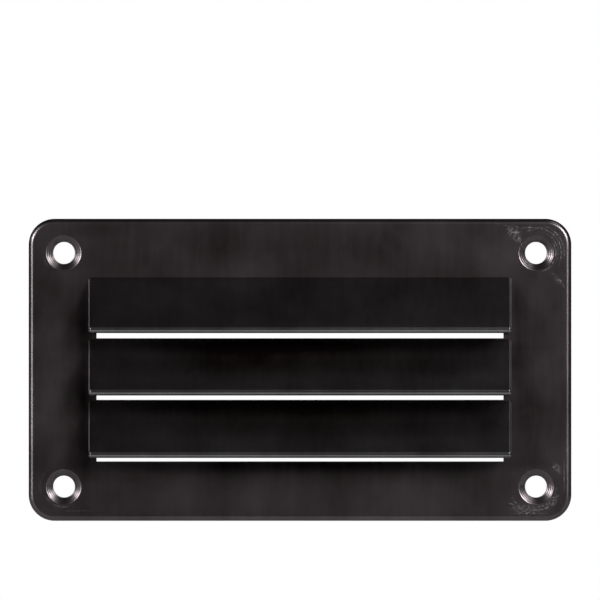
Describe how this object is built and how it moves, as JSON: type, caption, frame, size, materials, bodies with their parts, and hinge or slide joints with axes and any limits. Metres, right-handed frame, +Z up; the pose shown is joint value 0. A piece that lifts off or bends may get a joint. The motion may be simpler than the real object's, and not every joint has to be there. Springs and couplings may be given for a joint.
{
  "type": "louvred air vent",
  "caption": "Flat rectangular wall vent with rounded corners, countersunk corner fixing holes and a stack of downward-facing hooded louvres, moulded in one piece.",
  "frame": {"origin": "centre of the flat back, at the middle of the pattern of fixing holes", "axes": "+X to the right seen from the front, +Z up along the wall, front facing -Y"},
  "size_m": [0.15, 0.015, 0.0834],
  "materials": {
    "black_abs": "satin gloss, as moulded"
  },
  "bodies": {
    "root": {"louvred_vent": "black_abs"}
  },
  "joints": []
}
